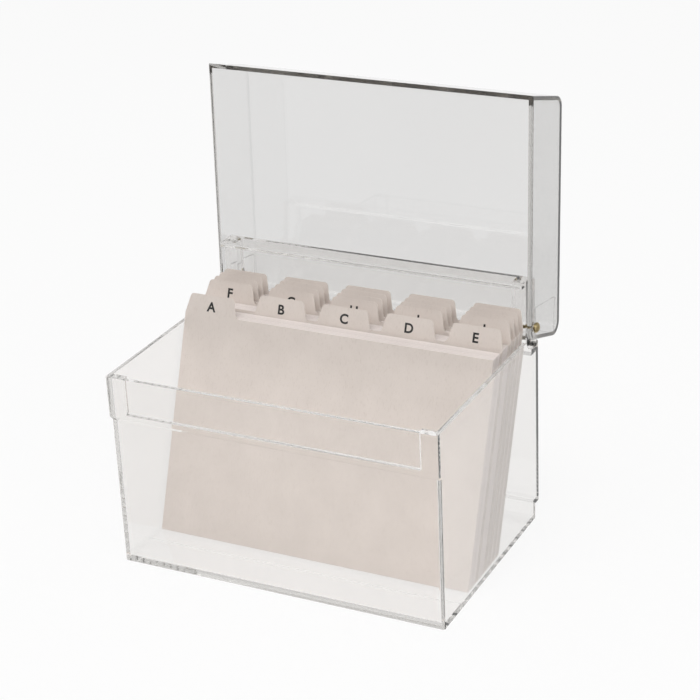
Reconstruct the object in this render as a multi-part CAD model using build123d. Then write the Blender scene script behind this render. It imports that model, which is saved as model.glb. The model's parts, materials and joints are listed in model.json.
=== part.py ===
from build123d import *
import math
import os

os.makedirs("parts", exist_ok=True)

# Index card file box, in millimetres. The origin is the centre of the underside,
# +X is the box's right, +Y runs to the hinged rear and +Z is up.

# ---------------------------------------------------------------- dimensions
CARD_W = 152.4          # standard 6 inch card width
CARD_H = 101.6          # standard 4 inch card height
SIDE_CLEAR = 0.9        # card to side wall, each side
WALL = 1.9              # moulded wall
BOX_D = 110.0           # front wall to rear wall, outside
RIM_Z = 93.0            # rim height
FLOOR_FRONT = 3.0       # floor thickness in front of the floor step
FLOOR_REAR = 2.4        # floor thickness under the cards
FLOOR_STEP = 18.5       # floor step, from the front face
CORNER_R = 1.2          # outer upright corners
INNER_R = 0.8           # cavity's upright corners
BASE_R = 0.7            # edge round the underside

BAND_H = 19.3           # upright face of the front band
BAND_OUT = 2.2          # how far the band stands proud
RECESS_END = 8.6        # band's inside recess, from the box's side
RECESS_SILL = 1.5       # recess's lower edge above the band's

FOOT_H = 8.0            # height of the rear foot recess
FOOT_IN = 4.5           # depth of the rear foot recess

REAR_RISE = 26.0        # rear wall above the rim
LEDGE_D = 12.0          # top ledge, front to back
LEDGE_T = 2.0           # top ledge thickness
LEDGE_R = 1.6           # rounded top edge at the rear
POST_W = 6.3            # hinge post width
POST_D = 8.0            # hinge post, front to back
POST_DROP = 9.0         # hinge post below the rim
POST_INSET = 3.2        # post's outer face inside the box's side

PIN_BACK = 5.5          # pin axis in front of the rear face
PIN_UP = 4.0            # pin axis above the rim
PIN_R = 0.8             # pin shaft radius
PIN_GRIP = 3.1          # pin length pressed into the post
PIN_PRESS = 0.03        # radial interference in the post
PIN_RUN = 0.05          # radial running clearance in the lid
COLLAR_R = 1.7          # collar under the head
COLLAR_T = 0.5
HEAD_R = 2.4            # domed head radius
HEAD_RIM = 0.7          # cylindrical part of the head
HEAD_DOME = 1.3         # dome height
HEAD_GAP = 0.15         # collar to the lid's side
NOTCH_R = 10.0          # side wall cut round the pin

LID_GAP = 0.3           # closed lid above the rim
LID_RISE = 32.0         # pin axis to the panel's outer face
LID_DRAFT = 9.2         # slant of the front skirt over its height
LID_END = 10.4          # slant of the hinge end over its height
LID_TAIL = 5.1          # hinge end behind the pin, at the skirt's edge
LID_R = 6.0             # bend between the panel and the end skirts
EAR_R = 5.0             # rounded ear beside the pin
LID_EDGE_R = 0.9        # long outer edges of the panel
STOP_V = 6.0            # rear skirt's edge, pin axis to stop edge
LID_OPEN = 92.0         # opening from closed to the stop
PAD_T = 0.7             # ear pad thickness
PAD_LOW = 3.0           # ear pad's edges from the pin axis
PAD_HIGH = 26.5
PAD_FRONT = 8.0
PAD_FRONT_TOP = 5.0

DIVIDER_T = 0.3         # divider card thickness
TAB_W = 22.0            # tab's top edge
TAB_H = 9.0
TAB_SPLAY = 2.2         # how much wider the tab's foot is, each side
TAB_R = 1.8             # tab's upper corners
TAB_FOOT_R = 2.4        # where the tab meets the card
LEAN = 20.3             # lean of the cards at rest, degrees
CARD_LIFT = 0.15        # bottom edge's middle above the floor
POST_CLEAR = 0.5        # last tab to the hinge post
TABS_ACROSS = 5
CARD_STEP = 0.75        # bottom edge to bottom edge along a row of tabs
ROW_STEPS = (6.8, 1.7, 1.7, 1.7)        # from a row's last card to the next row's first
FRONT_STEP = 8.4        # from the first card to the second
PACK_GAP = 0.48         # behind each pack of blank cards
LETTERS = "a b c d e f g h i j k l m n o p q r s t u v w xy z".split()

# ------------------------------------------------------------ derived values
INNER_W = CARD_W + 2 * SIDE_CLEAR
BOX_W = INNER_W + 2 * WALL
HALF_W = BOX_W / 2
FRONT = -BOX_D / 2
REAR = BOX_D / 2
TOP_Z = RIM_Z + REAR_RISE
POST_OUT = HALF_W - POST_INSET
POST_IN = POST_OUT - POST_W
PIN_Y = REAR - PIN_BACK
PIN_Z = RIM_Z + PIN_UP
EDGE_V = LID_GAP - PIN_UP
LID_REACH = PIN_Y - FRONT + BAND_OUT
SIN = math.sin(math.radians(LEAN))
COS = math.cos(math.radians(LEAN))


def side_profile(points, width):
    """A prism across X, centred, from (y, z) points."""
    wire = make_face(Polyline(*[(0, y, z) for y, z in points], close=True))
    return extrude(wire, width / 2, dir=(1, 0, 0), both=True)


def x_cylinder(radius, x_low, x_high, y, z):
    """A cylinder along X between two x values."""
    placed = Pos((x_low + x_high) / 2, y, z) * Rot(0, 90, 0)
    return placed * Cylinder(radius, x_high - x_low)


def block(low, high):
    """A box from its two extreme corners."""
    size = [b - a for a, b in zip(low, high)]
    middle = [(a + b) / 2 for a, b in zip(low, high)]
    return Pos(*middle) * Box(*size)


def at_sides(shape, half):
    """The edges of a shape that lie in the planes x = +-half."""
    return shape.edges().filter_by(
        lambda e: all(abs(abs(v.X) - half) < 1e-6 for v in e.vertices()) and
        abs(abs(e.center().X) - half) < 1e-6)


# --------------------------------------------------------------------- body
def body_outside():
    low_band = RIM_Z - BAND_H
    outside = side_profile([
        (FRONT, 0), (FRONT, low_band - BAND_OUT), (FRONT - BAND_OUT, low_band),
        (FRONT - BAND_OUT, RIM_Z), (REAR, RIM_Z), (REAR, FOOT_H),
        (REAR - FOOT_IN, FOOT_H), (REAR - FOOT_IN, 0)], BOX_W)
    upright = at_sides(outside, HALF_W).filter_by(
        lambda e: e.bounding_box().size.Z > 1 and e.bounding_box().size.Y < 10)
    outside = fillet(upright, CORNER_R)
    under = outside.faces().sort_by(Axis.Z)[0].edges()
    return fillet(under, BASE_R)


def body_cavity():
    foot_in = REAR - FOOT_IN - WALL
    foot_top = FOOT_H + WALL
    step = FRONT + FLOOR_STEP
    cavity = side_profile([
        (FRONT + WALL, FLOOR_FRONT), (step, FLOOR_FRONT), (step, FLOOR_REAR),
        (foot_in, FLOOR_REAR), (foot_in, foot_top), (REAR - WALL, foot_top),
        (REAR - WALL, RIM_Z + 1), (FRONT + WALL, RIM_Z + 1)], INNER_W)
    upright = cavity.edges().filter_by(Axis.Z).filter_by(
        lambda e: abs(e.center().Y - FRONT - WALL) < 1e-6 or
        abs(e.center().Y - REAR + WALL) < 1e-6)
    return fillet(upright, INNER_R)


def band_recess():
    """The hollow inside the front band, open at the rim."""
    end = HALF_W - RECESS_END
    return block((-end, FRONT - BAND_OUT + WALL, RIM_Z - BAND_H + RECESS_SILL),
                 (end, FRONT + WALL + 1, RIM_Z + 1))


def hinge_screen():
    """Raised rear wall, its top ledge and the two hinge posts."""
    screen = block((-POST_OUT, REAR - WALL, RIM_Z - POST_DROP), (POST_OUT, REAR, TOP_Z))
    ledge = block((-POST_OUT, REAR - LEDGE_D, TOP_Z - LEDGE_T), (POST_OUT, REAR, TOP_Z))
    screen += ledge
    for side in (-1, 1):
        near, far = sorted((side * POST_IN, side * POST_OUT))
        screen += block((near, REAR - POST_D, RIM_Z), (far, REAR, TOP_Z))
    rear_top = screen.edges().filter_by(Axis.X).sort_by(
        lambda e: e.center().Y + e.center().Z)[-1]
    screen = fillet(rear_top, LEDGE_R)
    for side in (-1, 1):
        near, far = sorted((side * POST_IN, side * (HALF_W - WALL / 2)))
        screen += block((near, REAR - POST_D, RIM_Z - POST_DROP), (far, REAR - WALL / 2, RIM_Z))
    return screen


def box_body():
    body = body_outside() - body_cavity() - band_recess()
    body += hinge_screen()
    for side in (-1, 1):
        near, far = sorted((side * POST_OUT, side * (HALF_W + 1)))
        body -= x_cylinder(NOTCH_R, near, far, PIN_Y, PIN_Z)
        near, far = sorted((side * (POST_OUT - PIN_GRIP), side * (POST_OUT + 1)))
        body -= x_cylinder(PIN_R - PIN_PRESS, near, far, PIN_Y, PIN_Z)
    return body


# ---------------------------------------------------------------------- lid
def lid_point(u, v):
    """(y, z) of a point u in front of the pin and v above it, lid closed."""
    return (PIN_Y - u, PIN_Z + v)


def lid_profile(inset, bottom_v, width, top_r, ear_r):
    """The lid's side outline, its three outer walls moved in by inset."""
    height = LID_RISE - EDGE_V
    front_slope = LID_DRAFT / height
    tail_slope = LID_END / height
    front_in = inset * math.hypot(1, front_slope)
    tail_in = inset * math.hypot(1, tail_slope)
    top_v = LID_RISE - inset

    def front_u(v):
        return LID_REACH - front_in - front_slope * (v - EDGE_V)

    def tail_u(v):
        return -LID_TAIL + tail_in - tail_slope * (v - EDGE_V)

    prism = side_profile([
        lid_point(front_u(bottom_v), bottom_v), lid_point(front_u(top_v), top_v),
        lid_point(tail_u(top_v), top_v), lid_point(tail_u(bottom_v), bottom_v)], width)
    across = prism.edges().filter_by(Axis.X)
    prism = fillet(across.sort_by(Axis.Z)[-2:], top_r)
    if ear_r > 0:
        ear = prism.edges().filter_by(Axis.X).filter_by(
            lambda e: e.center().Z < PIN_Z).sort_by(Axis.Y)[-1]
        prism = fillet(ear, ear_r)
    return prism


def lid_closed():
    outside = lid_profile(0, EDGE_V, BOX_W, LID_R, EAR_R)
    long_edges = at_sides(outside, HALF_W).filter_by(
        lambda e: e.center().Z > PIN_Z + LID_RISE / 2 or
        e.bounding_box().size.Z > LID_RISE / 2)
    outside = fillet(long_edges, LID_EDGE_R)
    cavity = lid_profile(WALL, EDGE_V - 10, INNER_W, LID_R - WALL, 0)
    shell = outside - cavity
    shell -= block(
        (-INNER_W / 2, PIN_Y, PIN_Z + EDGE_V - 1),
        (INNER_W / 2, PIN_Y + 4 * LID_TAIL, PIN_Z + STOP_V))
    tail_slope = LID_END / (LID_RISE - EDGE_V)
    pad_outline = [
        lid_point(PAD_FRONT, PAD_LOW), lid_point(PAD_FRONT_TOP, PAD_HIGH),
        lid_point(-LID_TAIL - tail_slope * (PAD_HIGH - EDGE_V), PAD_HIGH),
        lid_point(-LID_TAIL - tail_slope * (PAD_LOW - EDGE_V), PAD_LOW)]
    pads = side_profile(pad_outline, INNER_W + WALL)
    pads -= block(
        (-INNER_W / 2 + PAD_T, PIN_Y - BOX_D, PIN_Z - LID_RISE),
        (INNER_W / 2 - PAD_T, PIN_Y + BOX_D, PIN_Z + 2 * LID_RISE))
    shell += pads
    shell -= x_cylinder(PIN_R + PIN_RUN, -HALF_W - 1, HALF_W + 1, PIN_Y, PIN_Z)
    return shell


def lid():
    hinge = Axis((0, PIN_Y, PIN_Z), (1, 0, 0))
    return lid_closed().rotate(hinge, -LID_OPEN)


# --------------------------------------------------------------------- pins
def hinge_pin(side):
    collar = HALF_W + HEAD_GAP
    head = collar + COLLAR_T
    tip = head + HEAD_RIM + HEAD_DOME
    ball_r = (HEAD_R ** 2 + HEAD_DOME ** 2) / (2 * HEAD_DOME)
    pin = x_cylinder(HEAD_R, head, tip, 0, 0) & Pos(tip - ball_r, 0, 0) * Sphere(ball_r)
    pin += x_cylinder(HEAD_R, head, head + HEAD_RIM, 0, 0)
    pin += x_cylinder(COLLAR_R, collar, head, 0, 0)
    pin += x_cylinder(PIN_R, POST_OUT - PIN_GRIP, collar, 0, 0)
    if side < 0:
        pin = Rot(0, 0, 180) * pin
    return Pos(0, PIN_Y, PIN_Z) * pin


# -------------------------------------------------------------------- cards
def lean_back(card, bottom_y):
    """Stand a card, drawn upright with its bottom edge's middle at the origin."""
    return Pos(0, bottom_y, FLOOR_REAR + CARD_LIFT) * Rot(-LEAN, 0, 0) * card


def divider_outline(column):
    """Upright outline in X and Z of a card with its tab."""
    edge = CARD_W / 2
    foot = TAB_W / 2 + TAB_SPLAY
    middle = (2 * column / (TABS_ACROSS - 1) - 1) * (edge - foot)
    top = CARD_H + TAB_H
    points = [(-edge, 0), (edge, 0)]
    if column < TABS_ACROSS - 1:
        points += [(edge, CARD_H)]
    points += [(middle + foot, CARD_H), (middle + TAB_W / 2, top)]
    points += [(middle - TAB_W / 2, top), (middle - foot, CARD_H)]
    if column > 0:
        points += [(-edge, CARD_H)]
    sketch = make_face(Polyline(*points, close=True))
    feet = sketch.vertices().filter_by(
        lambda v: abs(v.Y - CARD_H) < 1e-6 and abs(v.X) < edge - 1e-6)
    sketch = fillet(feet, TAB_FOOT_R)
    return fillet(sketch.vertices().group_by(Axis.Y)[-1], TAB_R)


def divider(column, bottom_y):
    card = extrude(Plane.XZ * divider_outline(column), DIVIDER_T / 2, both=True)
    return lean_back(card, bottom_y)


def card_pack(bottom_y, depth):
    """Blank cards that lean on the divider in front, each standing on the floor."""
    low_y = bottom_y + DIVIDER_T / 2 / COS
    low_z = FLOOR_REAR + CARD_LIFT
    back, up = CARD_H * SIN, CARD_H * COS
    return side_profile([
        (low_y, low_z), (low_y + depth, low_z),
        (low_y + depth + back, low_z + up), (low_y + back, low_z + up)], CARD_W)


def card_steps():
    """Bottom edge to bottom edge from each divider to the next."""
    steps = [CARD_STEP] * (len(LETTERS) - 1)
    steps[0] = FRONT_STEP
    for row, step in enumerate(ROW_STEPS):
        steps[(row + 1) * TABS_ACROSS - 1] = step
    return steps


def first_edge():
    """Y of the first divider's bottom edge, set by the last tab and the hinge posts."""
    back = (CARD_H + TAB_H) * SIN + DIVIDER_T / 2 * COS
    return REAR - POST_D - POST_CLEAR - back - sum(card_steps())


# ------------------------------------------------------------------ pieces
PIECES = {
    "box_body": box_body(),
    "lid": lid(),
    "hinge_pin_left": hinge_pin(-1),
    "hinge_pin_right": hinge_pin(1),
}

edge_y = first_edge()
for index, (letter, step) in enumerate(zip(LETTERS, card_steps() + [0])):
    PIECES["divider_" + letter] = divider(index % TABS_ACROSS, edge_y)
    if step > CARD_STEP:
        PIECES["cards_" + letter] = card_pack(edge_y, step - DIVIDER_T / COS - PACK_GAP)
    edge_y += step

for name, piece in PIECES.items():
    export_step(piece, "parts/" + name + ".step")
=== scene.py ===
import bpy
import json
import math
from mathutils import Matrix, Vector


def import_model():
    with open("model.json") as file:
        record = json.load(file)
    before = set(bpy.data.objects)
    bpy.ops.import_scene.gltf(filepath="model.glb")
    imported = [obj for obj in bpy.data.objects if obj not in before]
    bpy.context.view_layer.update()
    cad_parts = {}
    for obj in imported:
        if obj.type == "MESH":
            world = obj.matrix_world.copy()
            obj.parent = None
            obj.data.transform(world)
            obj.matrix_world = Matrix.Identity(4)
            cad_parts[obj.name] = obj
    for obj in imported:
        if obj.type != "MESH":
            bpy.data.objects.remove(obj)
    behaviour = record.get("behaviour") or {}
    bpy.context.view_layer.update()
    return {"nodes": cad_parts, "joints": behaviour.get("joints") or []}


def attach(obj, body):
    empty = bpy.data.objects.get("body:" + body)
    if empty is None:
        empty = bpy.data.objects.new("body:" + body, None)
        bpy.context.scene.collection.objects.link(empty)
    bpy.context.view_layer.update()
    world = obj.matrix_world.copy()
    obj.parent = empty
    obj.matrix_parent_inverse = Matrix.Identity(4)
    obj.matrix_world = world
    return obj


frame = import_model()
scene = bpy.context.scene
MM = 0.001

# Light runs a long way along inside the clear walls; past this depth it is lost.
CLEAR_BOUNCES = 44
SHADOW_BOUNCES = 32
scene.cycles.max_bounces = CLEAR_BOUNCES
scene.cycles.transmission_bounces = CLEAR_BOUNCES
scene.cycles.glossy_bounces = CLEAR_BOUNCES
scene.cycles.transparent_max_bounces = SHADOW_BOUNCES

# The dividers, with the sizes and the backward lean of the solids.
LEAN = math.radians(20.3)
CARD_W = 152.4 * MM
CARD_H = 101.6 * MM
CARD_T = 0.3 * MM
TAB_W = 22.0 * MM
TAB_SPLAY = 2.2 * MM
TAB_H = 9.0 * MM
TABS_ACROSS = 5

# The printed letters: height of a capital, its middle below the tab's top, and the ink.
CAP_H = 4.5 * MM
LETTER_DROP = 5.2 * MM
INK_T = 0.03 * MM

WHITE = (1, 1, 1, 1)

# ---------------------------------------------------------------- materials


def srgb(r, g, b):
    """Linear colour from 0-255 display values."""
    out = []
    for c in (r, g, b):
        c /= 255
        out.append(c / 12.92 if c <= 0.04045 else ((c + 0.055) / 1.055) ** 2.4)
    return (*out, 1)


class Tree:
    """A node tree with short helpers."""

    def __init__(self, tree):
        self.tree = tree

    def add(self, kind, **values):
        """A new node; each value goes to the input of that name, or else to the node's setting."""
        node = self.tree.nodes.new(kind)
        for key, value in values.items():
            if key in node.inputs:
                node.inputs[key].default_value = value
            else:
                setattr(node, key, value)
        return node

    def link(self, a, b):
        self.tree.links.new(a, b)

    def ramp(self, fac, stops):
        """Colours by fac, from stops of (place, colour)."""
        node = self.add("ShaderNodeValToRGB")
        elements = node.color_ramp.elements
        while len(elements) < len(stops):
            elements.new(0.5)
        for element, (at, colour) in zip(elements, stops):
            element.position = at
            element.color = colour
        self.link(fac, node.inputs["Fac"])
        return node.outputs["Color"]

    def on_rays(self, first, *others):
        """1 on rays of any of the named kinds, else 0."""
        path = self.add("ShaderNodeLightPath")
        result = path.outputs[first]
        for other in others:
            most = self.add("ShaderNodeMath", operation="MAXIMUM")
            self.link(result, most.inputs[0])
            self.link(path.outputs[other], most.inputs[1])
            result = most.outputs[0]
        return result

    def blend(self, share, a, b):
        """Shader a, turned into shader b by share."""
        node = self.add("ShaderNodeMixShader")
        for index, source in enumerate((share, a, b)):
            self.link(source, node.inputs[index])
        return node.outputs[0]


class Nodes(Tree):
    """A material's tree: object coordinates, procedural patterns and the main shader."""

    def __init__(self, name):
        self.mat = bpy.data.materials.new(name)
        self.mat.use_nodes = True
        super().__init__(self.mat.node_tree)
        self.bsdf = self.tree.nodes["Principled BSDF"]
        self.out = self.tree.nodes["Material Output"]
        places = self.add("ShaderNodeTexCoord")
        self.coord = places.outputs["Object"]
        self.normal = places.outputs["Normal"]

    def noise(self, scale, detail=3.0, rough=0.5, stretch=(1, 1, 1)):
        mapping = self.add("ShaderNodeMapping", Scale=stretch)
        self.link(self.coord, mapping.inputs["Vector"])
        noise = self.add("ShaderNodeTexNoise", Scale=scale, Detail=detail, Roughness=rough)
        self.link(mapping.outputs["Vector"], noise.inputs["Vector"])
        return noise.outputs["Fac"]

    def spread(self, fac, low, high):
        """fac from 0.3-0.7 stretched to low-high."""
        node = self.add("ShaderNodeMapRange")
        for key, value in (("From Min", 0.3), ("From Max", 0.7), ("To Min", low), ("To Max", high)):
            node.inputs[key].default_value = value
        self.link(fac, node.inputs["Value"])
        return node.outputs["Result"]

    def mix(self, blend, fac, a, b):
        """Colours a and b; fac is a number or another node's output."""
        node = self.add("ShaderNodeMix", data_type="RGBA", blend_type=blend)
        if isinstance(fac, float):
            node.inputs[0].default_value = fac
        else:
            self.link(fac, node.inputs[0])
        self.link(a, node.inputs[6])
        self.link(b, node.inputs[7])
        return node.outputs[2]

    def along(self, vector, direction):
        """The length of vector in a direction."""
        node = self.add("ShaderNodeVectorMath", operation="DOT_PRODUCT")
        node.inputs[1].default_value = direction
        self.link(vector, node.inputs[0])
        return node.outputs["Value"]

    def bump(self, height, strength, distance):
        node = self.add("ShaderNodeBump", Strength=strength, Distance=distance)
        self.link(height, node.inputs["Height"])
        self.link(node.outputs["Normal"], self.bsdf.inputs["Normal"])

    def set(self, **values):
        """Constants on the main shader, with _ for a space in the name."""
        for key, value in values.items():
            self.bsdf.inputs[key.replace("_", " ")].default_value = value


PLASTIC_IOR = 1.49
FLOW_CHANGE = 1.02
INSIDE_GREY = (0.86, 0.855, 0.845, 1)
SHADOW_GREY = (0.93, 0.925, 0.92, 1)


def clear_plastic(name, grey_and_painted_shade, warm, density):
    """Clear moulded plastic: faint flow waves, fine scuffs, a grey base colour that is partly
    painted shade, and grey in long runs inside.
    """
    n = Nodes(name)
    n.set(Transmission_Weight=1.0, IOR=PLASTIC_IOR)
    # The grey base colour is partly painted shade, standing in for darker surroundings seen in the
    # plastic.
    low = [grey_and_painted_shade, grey_and_painted_shade * warm, grey_and_painted_shade * warm * warm]
    high = [min(1, level * FLOW_CHANGE) for level in low]
    flow = n.ramp(n.noise(9.0, 2.0), [(0.35, (*low, 1)), (0.65, (*high, 1))])
    n.link(flow, n.bsdf.inputs["Base Color"])
    scuff = n.noise(900.0, 4.0, 0.6, (1, 1, 0.25))
    n.link(n.spread(scuff, 0.0, 0.035), n.bsdf.inputs["Roughness"])
    n.bump(n.noise(22.0, 1.0), 0.05, 0.6 * MM)
    clear = n.add("ShaderNodeBsdfTransparent", Color=SHADOW_GREY)
    surface = n.blend(n.on_rays("Is Shadow Ray"), n.bsdf.outputs[0], clear.outputs[0])
    n.link(surface, n.out.inputs["Surface"])
    inside = n.add("ShaderNodeVolumeAbsorption", Color=INSIDE_GREY, Density=density)
    n.link(inside.outputs[0], n.out.inputs["Volume"])
    return n.mat


def card_stock(name, shade, light, edge_highlight, lines=None):
    """Uncoated card: soft mottling, short pressed fibres, a matt tooth, and cut edges painted paler
    as a painted highlight.

    With lines, the cut edges show the single cards of a pack as lines of that colour, painted shade
    in the thin spaces between the cards.
    """
    n = Nodes(name)
    n.set(Roughness=0.82, Specular_IOR_Level=0.25)
    across = (0, math.cos(LEAN), -math.sin(LEAN))
    mottle = n.ramp(n.noise(60.0, 5.0, 0.6), [(0.32, shade), (0.68, light)])
    fibre = n.noise(1500.0, 3.0, 0.7, (1, 0.35, 0.35))
    fleck = n.ramp(fibre, [(0.30, (0.93, 0.92, 0.91, 1)), (0.46, WHITE)])
    face = n.mix("MULTIPLY", 1.0, mottle, fleck)
    # The cut edges are painted paler than the faces: a painted highlight where light catches them.
    cut = n.ramp(n.noise(900.0, 3.0), [(0.3, edge_highlight), (0.7, light)])
    if lines:
        each = n.add("ShaderNodeTexNoise", noise_dimensions="1D", Scale=2600.0, Detail=2.0)
        n.link(n.along(n.coord, across), each.inputs["W"])
        # Dark lines of painted shade in the thin spaces between the pack's cards.
        gap_shade = n.ramp(each.outputs["Fac"], [(0.38, lines), (0.56, WHITE)])
        cut = n.mix("MULTIPLY", 1.0, cut, gap_shade)
    flat = n.add("ShaderNodeMath", operation="ABSOLUTE")
    n.link(n.along(n.normal, across), flat.inputs[0])
    n.link(n.mix("MIX", flat.outputs[0], cut, face), n.bsdf.inputs["Base Color"])
    n.bump(n.noise(2600.0, 2.0, 0.6), 0.12, 0.05 * MM)
    return n.mat


def brass():
    """Turned pin: fine turning rings round X, rubbed bright and slightly tarnished."""
    n = Nodes("pin_brass")
    n.set(Metallic=1.0)
    patina = n.ramp(n.noise(700.0, 4.0, 0.6), [
        (0.3, srgb(104, 92, 66)), (0.55, srgb(158, 143, 106)), (0.75, srgb(206, 194, 162))])
    n.link(patina, n.bsdf.inputs["Base Color"])
    rings = n.noise(1100.0, 2.0, 0.5, (6, 0.4, 0.4))
    n.link(n.spread(rings, 0.18, 0.36), n.bsdf.inputs["Roughness"])
    n.bump(rings, 0.2, 0.02 * MM)
    return n.mat


def ink():
    """Printed black letter, a little uneven in cover and gloss."""
    n = Nodes("letter_ink")
    cover = n.ramp(n.noise(2500.0, 3.0), [(0.35, srgb(22, 20, 20)), (0.75, srgb(46, 43, 42))])
    n.link(cover, n.bsdf.inputs["Base Color"])
    n.link(n.spread(n.noise(1800.0, 2.0), 0.45, 0.65), n.bsdf.inputs["Roughness"])
    return n.mat


# The lid's much deeper grey is mostly painted shade, standing in for the darker surroundings seen
# through it.
CLEAR_BOX = clear_plastic("clear_box", grey_and_painted_shade=0.934, warm=0.992, density=15.0)
CLEAR_LID = clear_plastic("clear_lid", grey_and_painted_shade=0.78, warm=0.995, density=70.0)
# The colours given for the cut edges paint a highlight on them.
CARD = card_stock(
    "divider_card", shade=srgb(216, 206, 199), light=srgb(222, 212, 205), edge_highlight=srgb(248, 240, 233))
# The blank packs' line colour is painted shade in the thin spaces between the cards.
BLANK = card_stock(
    "blank_card", shade=srgb(222, 211, 207), light=srgb(234, 225, 221), edge_highlight=srgb(240, 232, 229),
    lines=(0.60, 0.57, 0.55, 1))
BRASS = brass()
INK = ink()


def material_of(name):
    """The material of a node of the solids."""
    if name == "box_body":
        return CLEAR_BOX
    if name == "lid":
        return CLEAR_LID
    if name.startswith("hinge_pin"):
        return BRASS
    if name.startswith("cards_"):
        return BLANK
    return CARD


for name, node in frame["nodes"].items():
    for material_slot in node.material_slots:
        material_slot.material = material_of(name)

# ------------------------------------------------------------------ letters

# In the font's own units: how much bolder the strokes are made, and half the letter's depth.
BOLDER = 0.03
LETTER_HALF_T = 0.002

# The bold M, drawn because the font's M folds over itself when made bolder.
BOLD_M = (
    (-0.348, -0.030), (-0.348, 0.712), (-0.201, 0.712), (0.0, 0.450), (0.201, 0.712),
    (0.348, 0.712), (0.348, -0.030), (0.190, -0.030), (0.190, 0.448), (0.022, 0.237),
    (-0.022, 0.237), (-0.190, 0.448), (-0.190, -0.030))


def outline_curve(points):
    """A flat curve filled inside a closed outline."""
    curve = bpy.data.curves.new("letter_curve", "CURVE")
    curve.dimensions = "2D"
    curve.fill_mode = "BOTH"
    spline = curve.splines.new("POLY")
    spline.points.add(len(points) - 1)
    for point, (x, y) in zip(spline.points, points):
        point.co = (x, y, 0, 1)
    spline.use_cyclic_u = True
    return curve


def font_curve(text):
    """Text in the built-in font, centred and made bolder."""
    curve = bpy.data.curves.new("letter_curve", "FONT")
    curve.body = text
    curve.align_x = "CENTER"
    curve.size = 1.0
    curve.offset = BOLDER
    curve.resolution_u = 6
    return curve


def letter_mesh(text):
    """The letters as a thin mesh in the XY plane, centred, in the font's own units."""
    curve = outline_curve(BOLD_M) if text == "M" else font_curve(text)
    curve.extrude = LETTER_HALF_T
    holder = bpy.data.objects.new("letter_curve", curve)
    scene.collection.objects.link(holder)
    bpy.context.view_layer.update()
    graph = bpy.context.evaluated_depsgraph_get()
    mesh = bpy.data.meshes.new_from_object(holder.evaluated_get(graph))
    bpy.data.objects.remove(holder)
    bpy.data.curves.remove(curve)
    return mesh


def capital_rows():
    """The lowest and highest y of a capital, in the font's own units."""
    capital = letter_mesh("H")
    rows = [v.co.y for v in capital.vertices]
    bpy.data.meshes.remove(capital)
    return min(rows), max(rows)


def letter(text, name, body, foot, column):
    """One tab's letter, on the divider's front face; foot is the middle of its bottom edge."""
    mesh = letter_mesh(text)
    scale = CAP_H / (CAPITAL_TOP - CAPITAL_BOTTOM)
    middle = (CAPITAL_BOTTOM + CAPITAL_TOP) / 2
    upright = Matrix.Rotation(math.pi / 2 - LEAN, 4, "X")
    side = 2 * column / (TABS_ACROSS - 1) - 1
    tab_x = side * (CARD_W - TAB_W - 2 * TAB_SPLAY) / 2
    for v in mesh.vertices:
        flat = Vector((
            v.co.x * scale + tab_x,
            (v.co.y - middle) * scale + CARD_H + TAB_H - LETTER_DROP,
            CARD_T / 2 + (INK_T if v.co.z > 0 else 0)))
        v.co = foot + (upright @ flat)
    mesh.name = name
    piece = bpy.data.objects.new(name, mesh)
    scene.collection.objects.link(piece)
    piece.data.materials.clear()
    piece.data.materials.append(INK)
    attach(piece, body)


CAPITAL_BOTTOM, CAPITAL_TOP = capital_rows()
flips = [j for j in frame["joints"] if j["name"].startswith("flip_")]
for index, joint in enumerate(flips):
    key = joint["name"][len("flip_"):]
    foot = Vector(joint["pos_m"])
    letter(key.upper(), "letter_" + key, joint["child"], foot, index % TABS_ACROSS)

# -------------------------------------------------------------------- stage

FLOOR_HALF = 8.0
FLOOR_DROP = 0.2 * MM
FLOOR_GREY = (0.86, 0.86, 0.86, 1)
FLOOR_GLOW = 0.86

SKY_STRENGTH = 0.55
SKY_WARMTH = 0.99
# Height of the direction (0 at the horizon, 1 straight up) and brightness there.
SKY_LIGHT = ((0.0, 0.30), (0.10, 0.36), (0.45, 0.90), (1.0, 1.45))
SKY_IN_GLASS = ((0.0, 1.0), (0.22, 1.0), (0.5, 0.78), (0.9, 1.0))

# In metres and degrees; the tilt is counted from straight down.
CAMERA_AT = (0.38188, -0.72187, 0.46201)
CAMERA_TILT = 65.6993
CAMERA_ROLL = 2.4117
CAMERA_PAN = 26.0401
CAMERA_LENS = 104.43
CAMERA_SENSOR = 36


def floor():
    """White floor that glows for the camera and in the plastic, and keeps the shadow."""
    mesh = bpy.data.meshes.new("floor")
    corners = [(-1, -1), (1, -1), (1, 1), (-1, 1)]
    mesh.from_pydata([(x * FLOOR_HALF, y * FLOOR_HALF, 0) for x, y in corners], [], [(0, 1, 2, 3)])
    plane = bpy.data.objects.new("floor", mesh)
    plane.location.z = -FLOOR_DROP
    scene.collection.objects.link(plane)
    n = Nodes("floor_white")
    n.set(Base_Color=FLOOR_GREY, Roughness=0.9, Specular_IOR_Level=0.0)
    glow = n.add("ShaderNodeEmission", Color=WHITE, Strength=1.0)
    share = n.add("ShaderNodeMath", operation="MULTIPLY")
    n.link(n.on_rays("Is Camera Ray", "Is Glossy Ray", "Is Transmission Ray"), share.inputs[0])
    share.inputs[1].default_value = FLOOR_GLOW
    surface = n.blend(share.outputs[0], n.bsdf.outputs[0], glow.outputs[0])
    n.link(surface, n.out.inputs["Surface"])
    mesh.materials.append(n.mat)


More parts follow.
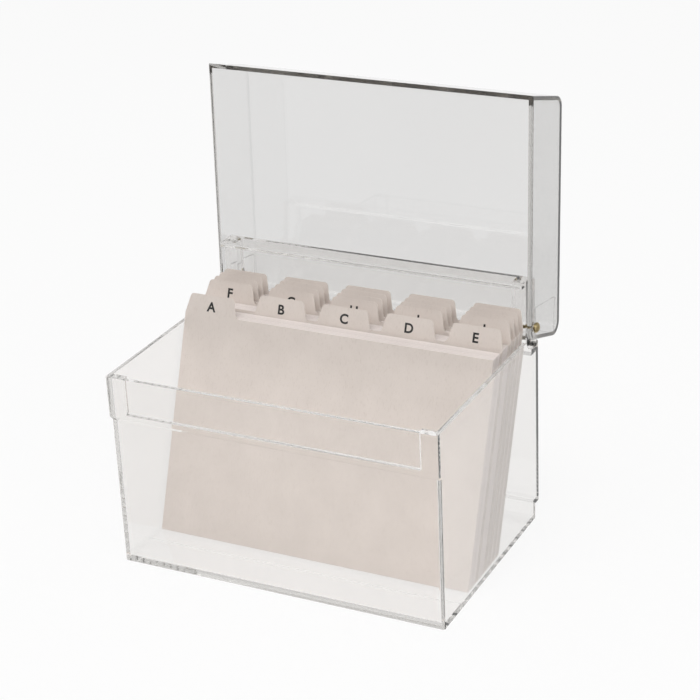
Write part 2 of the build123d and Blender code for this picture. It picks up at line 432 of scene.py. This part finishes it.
def world():
    """Light from above; the plastic and metal see a brighter sky and the camera sees white."""
    sky = bpy.data.worlds.new("studio")
    sky.use_nodes = True
    scene.world = sky
    n = Tree(sky.node_tree)
    coord = n.add("ShaderNodeTexCoord")
    split = n.add("ShaderNodeSeparateXYZ")
    n.link(coord.outputs["Generated"], split.inputs[0])
    light_stops = [(at, (level, level, level * SKY_WARMTH, 1)) for at, level in SKY_LIGHT]
    glass_stops = [(at, (level, level, level, 1)) for at, level in SKY_IN_GLASS]
    light = n.tree.nodes["Background"]
    light.inputs["Strength"].default_value = SKY_STRENGTH
    n.link(n.ramp(split.outputs["Z"], light_stops), light.inputs["Color"])
    glass = n.add("ShaderNodeBackground", Strength=1.0)
    n.link(n.ramp(split.outputs["Z"], glass_stops), glass.inputs["Color"])
    white = n.add("ShaderNodeBackground", Color=WHITE, Strength=1.0)
    in_glass = n.on_rays("Is Glossy Ray", "Is Transmission Ray")
    unseen = n.blend(in_glass, light.outputs[0], glass.outputs[0])
    surface = n.blend(n.on_rays("Is Camera Ray"), unseen, white.outputs[0])
    n.link(surface, n.tree.nodes["World Output"].inputs["Surface"])


def lamp(name, at, aim, size, watts):
    """A rectangular lamp at a place, turned to a point."""
    data = bpy.data.lights.new(name, "AREA")
    data.shape = "RECTANGLE"
    data.size, data.size_y = size
    data.energy = watts
    obj = bpy.data.objects.new(name, data)
    obj.location = at
    obj.rotation_euler = (Vector(aim) - Vector(at)).to_track_quat("-Z", "Y").to_euler()
    scene.collection.objects.link(obj)


def camera():
    """The photo's view, fitted without a lens shift."""
    data = bpy.data.cameras.new("camera")
    data.sensor_width = CAMERA_SENSOR
    data.lens = CAMERA_LENS
    data.clip_start = 0.01
    data.clip_end = 60
    obj = bpy.data.objects.new("camera", data)
    obj.location = CAMERA_AT
    obj.rotation_euler = [math.radians(turn) for turn in (CAMERA_TILT, CAMERA_ROLL, CAMERA_PAN)]
    scene.collection.objects.link(obj)
    scene.camera = obj


floor()
world()
lamp("key", at=(-0.9, -1.1, 1.5), aim=(0, 0, 0.08), size=(0.9, 0.9), watts=5.0)
lamp("fill", at=(1.4, -0.7, 0.9), aim=(0, 0, 0.08), size=(0.8, 0.8), watts=3.6)
lamp("top", at=(0.15, -0.7, 1.7), aim=(0, 0, 0.1), size=(1.0, 0.6), watts=9.0)
camera()
scene.view_settings.view_transform = "Standard"
